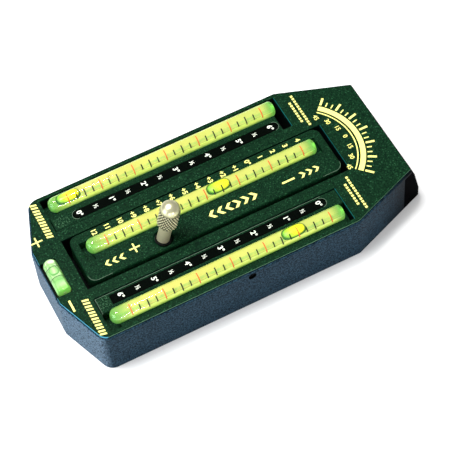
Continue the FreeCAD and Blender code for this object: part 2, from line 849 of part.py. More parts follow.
def hub_block():
    """End block under the pointed end, its flanks in line with the long chamfers."""
    slope = right_chamfer_y / right_chamfer_x
    end_half = half_width - right_chamfer_y
    profile = [
        Vector(hub_seat_x, -half_width, 0),
        Vector(hub_face_x, -half_width, 0),
        Vector(hub_face_x, -half_width, hub_face_height),
        Vector(hub_knee_x, -half_width, hub_knee_z),
        Vector(half_length, -half_width, hub_deck_z),
        Vector(hub_seat_x, -half_width, hub_deck_z),
    ]
    side_view = Part.Face(Part.makePolygon(profile + profile[:1])).extrude(Vector(0, body_width, 0))
    seat_half = end_half + (half_length - hub_seat_x) * slope
    face_half = end_half + (half_length - hub_face_x) * slope
    plan = prism([
        Vector(hub_seat_x, -seat_half, 0),
        Vector(hub_face_x, -face_half, 0),
        Vector(hub_face_x, face_half, 0),
        Vector(hub_seat_x, seat_half, 0),
    ], 0, hub_deck_z)
    solid = side_view.common(plan)
    end_edges = [edge for edge in solid.Edges if is_end_edge(edge)]
    solid = solid.makeFillet(hub_edge_r, end_edges)
    axis_point = Vector(hub_seat_x, 0, hub_thread_z)
    cuts = [
        rod(hub_insert_r + insert_hold_gap, axis_point, WORLD_X, hub_face_x - hub_seat_x),
        rod(hub_spotface_r, Vector(hub_spotface_x, 0, hub_thread_z), WORLD_X, hub_face_x - hub_spotface_x),
    ]
    screw_start = Vector(hub_seat_x, hub_screw_y, hub_screw_z)
    depth = hub_screw_bite + thread_end_room
    cuts += both_sides([rod(hub_screw_r + screw_gap, screw_start, WORLD_X, depth)])
    for cutter in cuts:
        solid = solid.cut(cutter)
    return solid


def is_end_edge(edge):
    """True for the corner edges between the end faces and the flanks of the end block."""
    start, end = edge.Vertexes[0].Point, edge.Vertexes[-1].Point
    climbs = abs(start.z - end.z) > same_spot
    return climbs and min(start.x, end.x) > hub_seat_x + hub_edge_r


def hub_insert():
    """Threaded steel bush for the hub adapter's stud."""
    start = Vector(hub_spotface_x - hub_insert_length, 0, hub_thread_z)
    bush = rod(hub_insert_r, start, WORLD_X, hub_insert_length)
    return bush.cut(rod(hub_thread_r, start, WORLD_X, hub_insert_length))


def hub_block_screws():
    """Two cap screws from the cavity into the end block."""
    head_x = cavity_right_x - hub_screw_head_height
    head = rod(hub_screw_head_r, Vector(head_x, hub_screw_y, hub_screw_z), WORLD_X, hub_screw_head_height)
    shank_start = Vector(cavity_right_x, hub_screw_y, hub_screw_z)
    shank = rod(hub_screw_r, shank_start, WORLD_X, cavity_end_wall + hub_screw_bite)
    socket_start = Vector(head_x, hub_screw_y, hub_screw_z)
    socket = hex_prism(hub_screw_socket_r, socket_start, WORLD_X, hub_screw_socket_depth)
    return group(both_sides([head.fuse(shank).removeSplitter().cut(socket)]))


def all_nodes():
    """Every sub-part by its name."""
    nodes = {
        "housing": housing(),
        "face_plate": face_plate(),
        "bottom_cover": bottom_cover(),
        "bottom_cover_screws": bottom_cover_screws(),
        "camber_plus_holder": camber_holder(holder_plus_right_x, False),
        "camber_plus_scale": scale_strip(
            strip_plus_left_land, holder_plus_right_x - strip_plus_right_land, True),
        "camber_minus_holder": mirrored(camber_holder(holder_minus_right_x, True)),
        "camber_minus_scale": mirrored(scale_strip(
            strip_minus_left_land, holder_minus_right_x - strip_minus_right_land, False)),
        "holder_screws": holder_screws(),
        "side_set_screws": side_set_screws(),
        "caster_carrier": caster_carrier(),
        "caster_pivot_pin": caster_pivot_pin(),
        "adjuster_screw": adjuster_screw(),
        "adjuster_washer": adjuster_washer(),
        "adjuster_insert": adjuster_insert(),
        "carrier_spring": carrier_spring(),
        "hub_block": hub_block(),
        "hub_insert": hub_insert(),
        "hub_block_screws": hub_block_screws(),
    }
    nodes.update(vials())
    return nodes


def main():
    """Write one STEP file for each sub-part."""
    os.makedirs("parts", exist_ok=True)
    for name, shape in all_nodes().items():
        shape.exportStep("parts/" + name + ".step")
        box = shape.BoundBox
        print("%-22s solids %d valid %s volume %.1f x %.1f..%.1f y %.1f..%.1f z %.1f..%.1f" % (
            name, len(shape.Solids), shape.isValid(), shape.Volume,
            box.XMin, box.XMax, box.YMin, box.YMax, box.ZMin, box.ZMax))


main()
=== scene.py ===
"""Looks of the camber caster gauge: finishes, printed marks, vials, knurled grip, floor, light and camera.

Lengths are millimetres in the model's own frame, turned into metres where a mesh or a material is made.
The stage, its lamps and the camera are in metres.
"""
import json
import math

import bmesh
import bpy
from mathutils import Matrix, Vector


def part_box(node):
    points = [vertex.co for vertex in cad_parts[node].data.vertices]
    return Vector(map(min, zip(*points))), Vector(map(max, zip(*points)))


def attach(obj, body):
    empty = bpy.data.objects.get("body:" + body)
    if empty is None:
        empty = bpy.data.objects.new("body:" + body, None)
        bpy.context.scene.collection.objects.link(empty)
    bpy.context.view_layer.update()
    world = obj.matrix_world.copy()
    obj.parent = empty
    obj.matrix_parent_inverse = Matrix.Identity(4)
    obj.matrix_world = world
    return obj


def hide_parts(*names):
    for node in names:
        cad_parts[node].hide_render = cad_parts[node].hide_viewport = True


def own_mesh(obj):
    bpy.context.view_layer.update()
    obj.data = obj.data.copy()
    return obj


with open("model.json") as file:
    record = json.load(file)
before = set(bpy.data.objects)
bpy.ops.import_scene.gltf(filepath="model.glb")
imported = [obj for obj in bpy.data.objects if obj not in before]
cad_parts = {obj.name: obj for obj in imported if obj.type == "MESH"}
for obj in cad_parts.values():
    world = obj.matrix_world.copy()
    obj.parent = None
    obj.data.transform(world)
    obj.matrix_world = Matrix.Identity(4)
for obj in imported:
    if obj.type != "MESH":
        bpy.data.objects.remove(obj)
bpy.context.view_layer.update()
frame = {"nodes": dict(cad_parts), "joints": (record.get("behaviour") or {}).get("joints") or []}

MM = 0.001
UP = Vector((0, 0, 1))


def span(node):
    """Lowest and highest corner of a CAD node, in millimetres."""
    low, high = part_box(node)
    return Vector(low) / MM, Vector(high) / MM


def centre(node):
    """Middle of a CAD node's box, in millimetres."""
    low, high = span(node)
    return (low + high) / 2


def linear(red, green, blue):
    """Scene-linear colour from display values of 0 to 255."""
    channels = []
    for value in (red, green, blue):
        share = value / 255.0
        channels.append(share / 12.92 if share <= 0.04045 else ((share + 0.055) / 1.055) ** 2.4)
    return tuple(channels) + (1.0,)


def darkened(colour, share):
    """The colour with each channel at a share of itself."""
    return tuple(channel * share for channel in colour[:3]) + (1.0,)


# Places read from the frame
face_z = span("face_plate")[1].z
carrier_z = span("caster_carrier")[1].z
strip_z = span("camber_plus_scale")[1].z

# Regions of the coats: limits for a face's direction, then places
facing = 0.3
upright = 0.5
plate_left_x = -60.0
plate_front_y = -28.0
plate_hub_x = 40.0
lip_z = 26.7
slot_wall_x = -81.5
slot_clear_y = 16.0
slot_middle = (-85.1, -2.2)
slot_half = (4.2, 11.5)
outer_reach = 43.5
rim_z = 25.2
# painted shade: where the flank fades to black towards the hub
painted_hub_shade_span = (66.0, 88.0)

# Colours of the coats
speck_dark = linear(1, 18, 9)
speck_base = linear(7, 38, 20)
speck_light = linear(40, 84, 54)
edge_dark = linear(3, 30, 22)
# painted highlight: teal on the plate's walls turned to the left by the hub
painted_highlight_teal = linear(22, 120, 120)
edge_front = linear(20, 36, 44)
# painted highlights: a pale line on top of the plate's front edge, and cyan on its left end's edges
painted_highlight_front_top = linear(96, 140, 104)
painted_highlight_cyan = linear(74, 160, 190)
slate_low = linear(3, 17, 26)
slate_high = linear(38, 62, 78)
# painted light: paler slate on faces turned to the left
painted_lit_left_low = linear(24, 40, 52)
painted_lit_left_high = linear(94, 118, 138)
# painted shade: black in the pockets and on every face not on the outside
painted_pocket_shade = linear(2, 6, 5)
# painted shade: the black that the flank fades to towards the hub end
painted_hub_shade = linear(4, 6, 9)

# Ink, and lines of painted highlight on edges; a type is (size, extra weight)
ink_thickness = 0.04
highlight_line_thickness = 0.06
caster_type = (3.5, 0.08)
degree_type = (3.6, 0.07)
half_type = (3.0, 0.04)
fan_type = (3.2, 0.03)

# Marks on the long vials, from the vial's domed end; angles from the crown, positive towards the back
first_red = 9.9
red_pitch = 17.3
red_count = 7
quarter_marks = ((0.25, -62.0, -20.0), (0.5, -72.0, -12.0), (0.75, -62.0, -20.0))
red_arc = (-74.0, 10.0)
mark_width = 0.62
red_width = 0.52
mark_thickness = 0.03
mark_steps = 12

# Rings round the cross level, from its domed end
cross_rings = (6.0, 11.9)
cross_ring_width = 0.3
cross_ring_arc = (-80.0, 80.0)

# Numbers: first place from the vial's domed end, and pitch
caster_first = 6.92
caster_pitch = 6.804
caster_row_y = 11.4
plus_first = 11.8
plus_pitch = 17.1
minus_first = 9.7
minus_pitch = 17.29

# Vials: the axis they lie along and their walls, as in the solids
long_vial = {"along": "x", "dome": 3.6, "corner": 2.0, "dome_wall": 1.6, "end_wall": 1.4, "bore": 3.0,
             "bore_round": 2.0, "plug": 1.27}
short_vial = {"along": "y", "dome": 3.3, "corner": 1.0, "dome_wall": 1.2, "end_wall": 1.2, "bore": 2.6,
              "bore_round": 1.2, "plug": 0.92}
liquid_film = 0.02
vial_sides = 72

# Green part round a filler plug, which glows with painted light: where it starts and where it is full, from
# the vial's end
plug_glow_span = (3.2, 1.4)

# Spirits: the flat top's colours from the domed end on, its broken band (a painted refraction of the scale
# beside the vial), its sides, its edges, and how much it glows with painted light
yellow_spirit = {
    "top": [(0.0, linear(150, 156, 74)), (0.2, linear(166, 158, 80)), (0.55, linear(162, 160, 78)),
            (1.0, linear(152, 156, 80))],
    "band": linear(120, 150, 74),
    "side": linear(180, 192, 94),
    "edge": linear(72, 128, 54),
    "painted_glow": 0.58,
}
pale_spirit = {
    # the whitish stops are painted highlights, bands of light across the cross level
    "top": [(0.0, linear(120, 150, 100)), (0.12, linear(196, 208, 182)), (0.2, linear(112, 146, 90)),
            (0.29, linear(200, 212, 188)), (0.38, linear(106, 146, 84)), (0.5, linear(150, 178, 130)),
            (0.66, linear(96, 150, 80)), (0.84, linear(150, 182, 130))],
    "band": linear(120, 160, 100),
    "side": linear(112, 156, 92),
    "edge": linear(84, 128, 70),
    "painted_glow": 0.2,
}

# Thumb screw, along its axis from the carrier's face
thread_r = 2.5
collar_r = 3.1
grip_r = 5.0
dome_r = 4.85
collar_base = -0.35
cone_base = collar_base + 9.4
grip_base = cone_base + 1.6
grip_length = 9.2
grip_top = grip_base + grip_length
dome_base = grip_top + 0.5

# Photograph's view: a camera fitted to the face's corners and the regular marks, in degrees and metres
view_azimuth = -21.728
view_elevation = 56.174
view_roll = -6.317
view_place = (-0.17617, -0.44921, 0.72532)
view_lens = 142.715


# Node helpers

class Shader:
    """Node material being built: its nodes, its links and one Principled shader."""

    def __init__(self, name):
        self.material = bpy.data.materials.new(name)
        self.material.use_nodes = True
        self.nodes = self.material.node_tree.nodes
        self.links = self.material.node_tree.links
        self.nodes.clear()
        output = self.nodes.new("ShaderNodeOutputMaterial")
        self.body = self.nodes.new("ShaderNodeBsdfPrincipled")
        self.links.new(self.body.outputs["BSDF"], output.inputs["Surface"])
        coordinates = self.nodes.new("ShaderNodeTexCoord")
        self.place = coordinates.outputs["Object"]
        self.generated = coordinates.outputs["Generated"]

    def set(self, **values):
        """Constants straight on the shader's sockets."""
        for name, value in values.items():
            self.body.inputs[name.replace("_", " ")].default_value = value

    def feed(self, socket, value):
        """Links an output to a socket of the shader."""
        self.links.new(value, self.body.inputs[socket])

    def put(self, socket, value):
        """Sets a socket from a number, a tuple or an output."""
        if isinstance(value, (int, float, tuple)):
            socket.default_value = value
        else:
            self.links.new(value, socket)

    def math(self, operation, first, second=0.0, third=None):
        """One step of arithmetic."""
        node = self.nodes.new("ShaderNodeMath")
        node.operation = operation
        self.put(node.inputs[0], first)
        self.put(node.inputs[1], second)
        if third is not None:
            self.put(node.inputs[2], third)
        return node.outputs["Value"]

    def times(self, first, second):
        """Product; of two tests, 1 where both hold."""
        return self.math("MULTIPLY", first, second)

    def either(self, first, second):
        """The larger; of two tests, 1 where either holds."""
        return self.math("MAXIMUM", first, second)

    def below(self, value, limit):
        """1 where the value is under the limit."""
        return self.math("LESS_THAN", value, limit)

    def above(self, value, limit):
        """1 where the value is over the limit."""
        return self.math("GREATER_THAN", value, limit)

    def vector(self, operation, first, second=None):
        """One step of vector arithmetic; a length and a dot product are numbers."""
        node = self.nodes.new("ShaderNodeVectorMath")
        node.operation = operation
        self.links.new(first, node.inputs[0])
        if second is not None:
            node.inputs[1].default_value = second
        return node.outputs["Value" if operation in ("LENGTH", "DOT_PRODUCT") else "Vector"]

    def axes(self, vector):
        """The three parts of a vector."""
        node = self.nodes.new("ShaderNodeSeparateXYZ")
        self.links.new(vector, node.inputs["Vector"])
        return node.outputs["X"], node.outputs["Y"], node.outputs["Z"]

    def normal(self):
        """The three parts of the surface's own direction."""
        return self.axes(self.nodes.new("ShaderNodeNewGeometry").outputs["Normal"])

    def noise(self, scale, detail=3.0, stretch=(1.0, 1.0, 1.0)):
        """Noise in object coordinates; the scale is in features per metre."""
        mapping = self.nodes.new("ShaderNodeMapping")
        mapping.inputs["Scale"].default_value = stretch
        texture = self.nodes.new("ShaderNodeTexNoise")
        texture.inputs["Scale"].default_value = scale
        texture.inputs["Detail"].default_value = detail
        self.links.new(self.place, mapping.inputs["Vector"])
        self.links.new(mapping.outputs["Vector"], texture.inputs["Vector"])
        return texture.outputs["Fac"]

    def ramp(self, value, stops):
        """Colour ramp; stops are (place, colour)."""
        node = self.nodes.new("ShaderNodeValToRGB")
        elements = node.color_ramp.elements
        while len(elements) < len(stops):
            elements.new(0.5)
        for element, (place, colour) in zip(elements, stops):
            element.position = place
            element.color = colour
        self.put(node.inputs["Fac"], value)
        return node.outputs["Color"]

    def mix(self, share, first, second):
        """Blend of two colours: the first where the share is 0, the second where it is 1."""
        node = self.nodes.new("ShaderNodeMix")
        node.data_type = "RGBA"
        self.put(node.inputs[0], share)
        self.put(node.inputs[6], first)
        self.put(node.inputs[7], second)
        return node.outputs[2]

    def rise(self, value, start, end):
        """0 before the start, 1 after the end."""
        node = self.nodes.new("ShaderNodeMapRange")
        node.inputs["From Min"].default_value = start
        node.inputs["From Max"].default_value = end
        self.put(node.inputs["Value"], value)
        return node.outputs["Result"]

    def bump(self, height, strength, distance):
        """Bump from a height value, in metres of travel."""
        node = self.nodes.new("ShaderNodeBump")
        node.inputs["Strength"].default_value = strength
        node.inputs["Distance"].default_value = distance
        self.links.new(height, node.inputs["Height"])
        self.links.new(node.outputs["Normal"], self.body.inputs["Normal"])


# Finishes

def speckled_shader(name, light=speck_light, share=0.6):
    """Dark green coat with fine lighter specks above a share of the grain, as (shader, its colour)."""
    shader = Shader(name)
    grains = shader.noise(1500.0, 2.0)
    stops = [(0.32, speck_dark), (0.5, speck_base), (share, speck_base), (share + 0.12, light)]
    colour = shader.ramp(grains, stops)
    shader.feed("Base Color", colour)
    shader.set(Roughness=0.5, Specular_IOR_Level=0.04)
    shader.bump(grains, 0.1, 0.00005)
    return shader, colour


def speckled(name, light=speck_light, share=0.6):
    """The speckled coat as a material."""
    return speckled_shader(name, light, share)[0].material


def plate_material():
    """Top plate: speckled face, its cut edges dark and slate at the front, with painted highlights: teal on
    walls turned to the left by the hub, a pale top line on the front edge, cyan at the left end.
    """
    shader, face = speckled_shader("plate_green")
    nx, ny, nz = shader.normal()
    x, y, z = shader.axes(shader.place)
    cut_edge = shader.below(shader.math("ABSOLUTE", nz), upright)
    off_slot = shader.either(shader.below(x, slot_wall_x * MM),
                             shader.above(shader.math("ABSOLUTE", y), slot_clear_y * MM))
    # painted highlights: cyan on cut edges facing the left end, a pale line on top of the front edge, teal on
    # walls facing the left by the hub
    left = shader.times(shader.below(nx, -facing), shader.below(x, plate_left_x * MM))
    left = shader.times(left, off_slot)
    front = shader.times(shader.below(ny, -facing), shader.below(y, plate_front_y * MM))
    inner = shader.times(shader.below(nx, -facing), shader.above(x, plate_hub_x * MM))
    painted_front_top_line = shader.times(front, shader.above(z, lip_z * MM))
    edge = edge_dark
    for share, colour in ((inner, painted_highlight_teal), (front, edge_front), (painted_front_top_line, painted_highlight_front_top), (left, painted_highlight_cyan)):
        edge = shader.mix(share, edge, colour)
    shader.feed("Base Color", shader.mix(cut_edge, face, edge))
    return shader.material


def flank_material():
    """Slate blue pebbled coat on the outside, with painted light making faces turned to the left paler, and
    painted shade: black in the pockets and fading to black towards the hub.
    """
    shader = Shader("flank_slate")
    grains = shader.noise(1300.0, 4.0)
    nx, ny, nz = shader.normal()
    x, y, z = shader.axes(shader.place)
    reach = shader.math("ADD", shader.times(nx, x), shader.times(ny, y))
    outside = shader.above(reach, outer_reach * MM)
    rim = shader.times(shader.above(z, rim_z * MM), shader.above(nz, facing))
    slot = shader.times(shader.math("COMPARE", x, slot_middle[0] * MM, slot_half[0] * MM),
                        shader.math("COMPARE", y, slot_middle[1] * MM, slot_half[1] * MM))
    coated = shader.times(shader.either(outside, rim), shader.math("SUBTRACT", 1.0, slot))
    slate = shader.ramp(grains, [(0.36, slate_low), (0.64, slate_high)])
    # painted light: faces turned to the left are paler
    painted_lit_left_end = shader.ramp(grains, [(0.36, painted_lit_left_low), (0.64, painted_lit_left_high)])
    slate = shader.mix(shader.rise(nx, -0.4, -0.85), slate, painted_lit_left_end)
    # painted shade: the flank fades to black towards the hub
    slate = shader.mix(shader.rise(x, painted_hub_shade_span[0] * MM, painted_hub_shade_span[1] * MM), slate, painted_hub_shade)
    # painted shade: black on faces not on the outside, such as the pockets
    shader.feed("Base Color", shader.mix(coated, painted_pocket_shade, slate))
    shader.set(Roughness=0.6, Specular_IOR_Level=0.06)
    shader.bump(grains, 0.55, 0.00018)
    return shader.material


def plain(name, colour, roughness, metallic=0.0, variation=0.12, specular=0.3):
    """One finish with a little cloudiness in its colour."""
    shader = Shader(name)
    clouds = shader.noise(900.0)
    stops = [(0.35, darkened(colour, 1.0 - variation)), (0.65, colour)]
    shader.feed("Base Color", shader.ramp(clouds, stops))
    shader.set(Roughness=roughness, Metallic=metallic, Specular_IOR_Level=specular)
    shader.bump(clouds, 0.08, 0.00004)
    return shader.material


def metal_lines(shader, colour, shade):
    """Colour of turned metal with fine darker lines round its axis, and their relief."""
    lines = shader.noise(500.0, 4.0, (1.0, 1.0, 12.0))
    shader.bump(lines, 0.06, 0.00002)
    return shader.ramp(lines, [(0.35, darkened(colour, shade)), (0.65, colour)])


def brushed_metal(name, colour, roughness, shade=0.8, metallic=1.0):
    """Turned or plated metal."""
    shader = Shader(name)
    shader.feed("Base Color", metal_lines(shader, colour, shade))
    shader.set(Roughness=roughness, Metallic=metallic)
    return shader.material


def knurled_metal(name, colour, painted_groove_shade, roughness):
    """Plated metal with painted shade that darkens the grooves of the grip, and plain on its dome."""
    shader = Shader(name)
    start, axis = screw_line()
    from_start = shader.vector("SUBTRACT", shader.place, start * MM)
    from_axis = shader.vector("LENGTH", shader.vector("CROSS_PRODUCT", from_start, axis))
    crest = shader.rise(from_axis, (grip_r - 0.42) * MM, (grip_r - 0.08) * MM)
    on_dome = shader.above(shader.vector("DOT_PRODUCT", from_start, axis), (grip_top - 0.1) * MM)
    metal = metal_lines(shader, colour, 0.94)
    # painted shade: the knurl's grooves are coloured dark
    shader.feed("Base Color", shader.mix(shader.either(crest, on_dome), painted_groove_shade, metal))
    shader.set(Roughness=roughness, Metallic=0.85)
    return shader.material


def shell_material(name, along):
    """Clear acrylic that bends what is seen through it, green round its filler plug, where it also glows with
    painted light.
    """
    shader = Shader(name + "_acrylic")
    low, high = span(name + "_vial")
    x, y = shader.axes(shader.place)[:2]
    lengthwise, end, inward = (x, high.x, -1) if along == "x" else (y, low.y, 1)
    start, full = ((end + inward * depth) * MM for depth in plug_glow_span)
    at_plug = shader.rise(lengthwise, start, full)
    haze = shader.noise(260.0, 2.0, (0.4, 1.0, 1.0))
    clear = shader.ramp(haze, [(0.3, (0.84, 0.95, 0.74, 1.0)), (0.7, (0.95, 1.0, 0.9, 1.0))])
    shader.feed("Base Color", shader.mix(at_plug, clear, linear(124, 190, 96)))
    # painted light: the acrylic glows green round the filler plug
    shader.feed("Emission Color", shader.mix(at_plug, linear(0, 0, 0), linear(124, 176, 84)))
    shader.set(Roughness=0.06, IOR=1.49, Transmission_Weight=1.0, Emission_Strength=0.5)
    return shader.material


def bore_material():
    """Wetted wall of the bore, where the spirit takes over from the acrylic without a visible skin."""
    shader = Shader("vial_bore")
    stops = [(0.3, (0.9, 1.0, 0.8, 1.0)), (0.7, (1.0, 1.0, 1.0, 1.0))]
    shader.feed("Base Color", shader.ramp(shader.noise(260.0), stops))
    shader.set(Alpha=0.0, Specular_IOR_Level=0.0)
    return shader.material


def top_colour(shader, share, offset, bore, cloud, look):
    """Colours of the spirit's flat top, by the share of its length and the offset from its axis."""

    def rise(value, start, end):
        return shader.rise(value, bore * start * MM, bore * end * MM)

    wavy = shader.math("MULTIPLY_ADD", cloud, 0.12, share)
    # painted refraction: a broken band on the flat top stands in for the scale seen through the vial
    band = shader.times(rise(offset, -0.64, -0.5), rise(offset, -0.1, -0.22))
    painted_refraction_band = shader.times(band, shader.math("MULTIPLY_ADD", cloud, 1.6, 0.6))
    at_edge = shader.times(rise(shader.math("ABSOLUTE", offset), 0.66, 0.92), 0.6)
    colour = shader.mix(painted_refraction_band, shader.ramp(wavy, look["top"]), look["band"])
    return shader.mix(at_edge, colour, look["edge"])


def liquid_material(name, kind, look):
    """Spirit that glows with painted light: its own colours on the flat top and on the sides, greener at the
    edges and the ends.
    """
    shader = Shader(name + "_spirit")
    low, high = span(name + "_vial")
    middle = (low + high) / 2
    bore = kind["bore"]
    x, y, z = shader.axes(shader.place)
    nz = shader.normal()[2]
    if kind["along"] == "x":
        share = shader.rise(x, low.x * MM, high.x * MM)
        offset = shader.math("SUBTRACT", y, middle.y * MM)
    else:
        share = shader.rise(y, high.y * MM, low.y * MM)
        offset = shader.math("SUBTRACT", x, middle.x * MM)
    ripple = shader.times(shader.noise(350.0, 2.0), 0.1)
    height = shader.math("ADD", shader.rise(z, (middle.z - bore) * MM, (middle.z + bore) * MM), ripple)
    side = shader.ramp(height, [(0.25, look["edge"]), (0.54, look["side"])])
    cloud = shader.math("SUBTRACT", shader.noise(420.0, 2.0), 0.5)
    top = top_colour(shader, share, offset, bore, cloud, look)
    colour = shader.mix(shader.rise(nz, 0.9, 0.99), side, top)
    off_ends = shader.math("MINIMUM", shader.rise(share, 0.01, 0.1), shader.rise(share, 0.99, 0.95))
    colour = shader.mix(off_ends, look["edge"], colour)
    shader.feed("Base Color", colour)
    shader.feed("Emission Color", colour)
    # painted light: the spirit glows, its sides more than its flat top
    off_top = shader.math("SUBTRACT", 1.0, shader.rise(nz, 0.6, 0.95))
    shader.feed("Emission Strength", shader.math("MULTIPLY_ADD", off_top, look["painted_glow"], 0.08))
    shader.set(Roughness=0.45, Specular_IOR_Level=0.08)
    return shader.material


def bubble_material(name, left, middle, right, edge):
    """Bubble that glows with painted light: its colour runs from end to end, and darkens at the rim."""
    shader = Shader(name)
    along, across = shader.axes(shader.generated)[:2]
    squareness = 2.6
    shares = []
    for share in (along, across):
        from_middle = shader.math("ABSOLUTE", shader.math("MULTIPLY_ADD", share, 2.0, -1.0))
        shares.append(shader.math("POWER", from_middle, squareness))
    reach = shader.math("POWER", shader.math("ADD", shares[0], shares[1]), 1 / squareness)
    body = shader.ramp(along, [(0.15, left), (0.5, middle), (0.8, right)])
    colour = shader.mix(shader.rise(reach, 0.74, 0.93), body, edge)
    shader.feed("Base Color", colour)
    # painted light: the bubble glows in its own colour
    shader.feed("Emission Color", colour)
    shader.set(Roughness=0.12, Emission_Strength=0.15)
    return shader.material


# Meshes

def add_piece(name, build, material, body, sharp_deg=None):
    """Puts a bmesh that is in millimetres into the scene, on its body and with its finish slot."""
    bmesh.ops.scale(build, vec=(MM, MM, MM), verts=build.verts)
    mesh = bpy.data.meshes.new(name)
    build.to_mesh(mesh)
    build.free()
    if sharp_deg:
        mesh.shade_smooth()
        mesh.set_sharp_from_angle(angle=math.radians(sharp_deg))
    piece = bpy.data.objects.new(name, mesh)
    bpy.context.scene.collection.objects.link(piece)
    piece.data.materials.append(material)
    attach(piece, body)
    return piece


def add_prism(build, points, bottom, thickness=ink_thickness):
    """Thin closed prism on a list of plan points."""
    area = sum(x0 * y1 - x1 * y0 for (x0, y0), (x1, y1) in zip(points, points[1:] + points[:1]))
    if area < 0:
        points = points[::-1]
    low = [build.verts.new((x, y, bottom)) for x, y in points]
    high = [build.verts.new((x, y, bottom + thickness)) for x, y in points]
    build.faces.new(low[::-1])
    build.faces.new(high)
    count = len(points)
    for index in range(count):
        after = (index + 1) % count
        build.faces.new((low[index], low[after], high[after], high[index]))


def add_bar(build, x0, x1, y0, y1, bottom):
    """Thin rectangle of ink."""
    add_prism(build, [(x0, y0), (x1, y0), (x1, y1), (x0, y1)], bottom)


def add_sector(build, middle, inner, outer, start_deg, end_deg, bottom, thickness=ink_thickness):
    """Thin sector of a ring, in steps of about three degrees."""
    steps = max(6, round(abs(end_deg - start_deg) / 3))
    rims = []
    for radius in (outer, inner):
        rim = []
        for step in range(steps + 1):
            angle = math.radians(start_deg + (end_deg - start_deg) * step / steps)
            rim.append((middle[0] + radius * math.cos(angle), middle[1] + radius * math.sin(angle)))
        rims.append(rim)
    add_prism(build, rims[0] + rims[1][::-1], bottom, thickness)


def add_text(build, words, x, y, bottom, style):
    """Numbers set in the built-in type, centred on a point and read from the hub end."""
    curve = bpy.data.curves.new("number", "FONT")
    curve.body = words
    curve.size, curve.offset = style
    curve.extrude = ink_thickness / 2
    curve.align_x = "CENTER"
    curve.align_y = "CENTER"
    curve.resolution_u = 4
    holder = bpy.data.objects.new("number", curve)
    bpy.context.scene.collection.objects.link(holder)
    bpy.context.view_layer.update()
    mesh = bpy.data.meshes.new_from_object(holder)
    quarter = Matrix.Rotation(-math.pi / 2, 4, "Z")
    mesh.transform(Matrix.Translation((x, y, bottom + ink_thickness / 2)) @ quarter)
    build.from_mesh(mesh)
    bpy.data.objects.remove(holder)
    bpy.data.meshes.remove(mesh)
    bpy.data.curves.remove(curve)


def vial_place(name, along):
    """Turns (distance from the domed end, across, up) of a vial into a point of the model."""
    low, high = span(name + "_vial")
    middle = (low + high) / 2

    def place(distance, across, up):
        if along == "x":
            return Vector((low.x + distance, middle.y + across, middle.z + up))
        return Vector((middle.x - across, high.y - distance, middle.z + up))

    return place


def stitch(build, rings):
    """Faces between neighbouring rings; a ring of one point closes an end."""
    for lower, upper in zip(rings, rings[1:]):
        around = max(len(lower), len(upper))
        for index in range(around):
            after = (index + 1) % around
            corners = [lower[0]] if len(lower) == 1 else [lower[index], lower[after]]
            corners += [upper[0]] if len(upper) == 1 else [upper[after], upper[index]]
            build.faces.new(corners)


def add_lathe(build, profile, around, place, radius_at=None, ceiling=None):
    """Surface of revolution; profile points are (distance, radius), a radius of zero closes an end."""
    rings = []
    for level, (distance, radius) in enumerate(profile):
        if radius == 0:
            rings.append([build.verts.new(place(distance, 0.0, 0.0))])
            continue
        ring = []
        for index in range(around):
            angle = 2 * math.pi * index / around
            size = radius_at(level, angle, distance, radius) if radius_at else radius
            up = size * math.cos(angle)
            if ceiling is not None:
                up = min(up, ceiling)
            ring.append(build.verts.new(place(distance, size * math.sin(angle), up)))
        rings.append(ring)
    stitch(build, rings)
    bmesh.ops.recalc_face_normals(build, faces=build.faces[:])


def quarter_turn(distance, radius, rounding, steps, rising):
    """Profile points of a rounded end edge, from the end's flat to the side or back."""
    points = []
    for step in range(steps + 1):
        angle = math.pi / 2 * step / steps
        if rising:
            points.append((distance + rounding * (1 - math.cos(angle)),
                           radius - rounding + rounding * math.sin(angle)))
        else:
            points.append((distance - rounding + rounding * math.sin(angle),
                           radius - rounding + rounding * math.cos(angle)))
    return points


def vial_size(name, kind):
    """Length, width and height of a vial, as a vector."""
    low, high = span(name + "_vial")
    size = high - low
    return size if kind["along"] == "x" else Vector((size.y, size.x, size.z))


def add_ring_mark(build, distance, width, arc, radius, place):
    """Printed line part of the way round a vial."""
    outer = radius + mark_thickness
    corners = [(radius, -width / 2), (radius, width / 2), (outer, width / 2), (outer, -width / 2)]
    rows = []
    for level, side in corners:
        row = []
        for step in range(mark_steps + 1):
            angle = math.radians(arc[0] + (arc[1] - arc[0]) * step / mark_steps)
            point = place(distance + side, level * math.sin(angle), level * math.cos(angle))
            row.append(build.verts.new(point))
        rows.append(row)
    for row, neighbour in zip(rows, rows[1:] + rows[:1]):
        for step in range(mark_steps):
            build.faces.new((row[step], neighbour[step], neighbour[step + 1], row[step + 1]))
    for end in (0, mark_steps):
        build.faces.new([row[end] for row in rows])
    bmesh.ops.recalc_face_normals(build, faces=build.faces[:])


# Printed marks

def caster_numbers(ink):
    """Degree numbers beside the caster vial."""
    left = span("caster_vial")[0].x
    labels = ["12", "11", "10"] + ["+%d" % value for value in range(9, 0, -1)] + ["0°", "1", "2", "3", "4"]
    build = bmesh.new()
    for index, label in enumerate(labels):
        x = left + caster_first + caster_pitch * index
        add_text(build, label, x, caster_row_y, carrier_z, caster_type)
    add_piece("caster_numbers", build, ink, "carrier")


def camber_numbers(name, first, pitch, degrees, ink):
    """Degree and half-degree numbers on a camber strip."""
    left = span(name + "_vial")[0].x
    row_y = centre(name + "_scale").y
    build = bmesh.new()
    for index, degree in enumerate(degrees):
        x = left + first + pitch * index
        add_text(build, "%d°" % degree, x, row_y, strip_z, degree_type)
        if index < len(degrees) - 1:
            add_text(build, "½", x + pitch / 2, row_y, strip_z, half_type)
    add_piece(name + "_numbers", build, ink, "housing")


